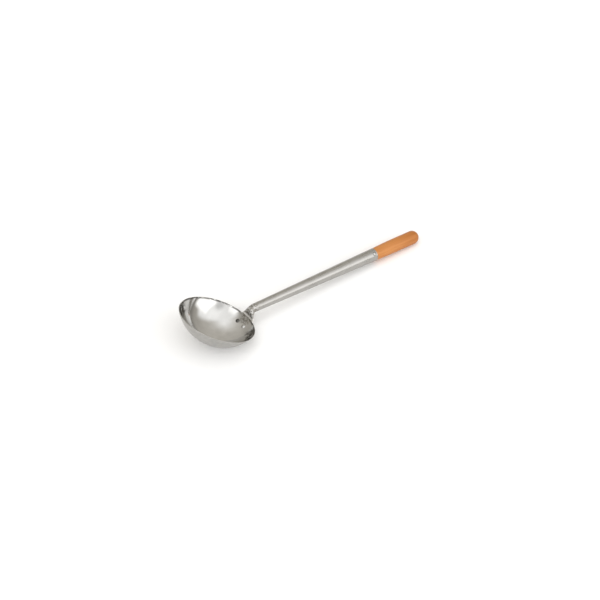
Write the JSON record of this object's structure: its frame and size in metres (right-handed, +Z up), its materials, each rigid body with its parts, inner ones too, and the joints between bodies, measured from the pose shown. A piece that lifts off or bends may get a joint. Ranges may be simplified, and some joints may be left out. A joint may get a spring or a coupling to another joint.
{
  "type": "soup ladle",
  "caption": "Long ladle with a round steel bowl riveted to a tapered tubular steel handle that ends in a turned wooden grip.",
  "frame": {"origin": "on the ground under the middle of the whole ladle, as it lies at rest on its bowl and the end of its grip", "axes": "+X from the bowl to the end of the grip, +Z up; the handle lies in the XZ plane"},
  "size_m": [0.4672, 0.127, 0.0696],
  "materials": {
    "bowl_steel": "polished stainless steel, bright inside, satin outside",
    "shank_steel": "satin stainless steel, ground along its length",
    "rivet_steel": "plain steel, peened and polished",
    "grip_wood": "turned close-grained wood under clear orange lacquer",
    "nail_steel": "bright drawn steel"
  },
  "bodies": {
    "root": {"bowl": "bowl_steel", "shank": "shank_steel", "bowl_rivets": "rivet_steel", "grip": "grip_wood", "grip_nail": "nail_steel"}
  },
  "joints": []
}
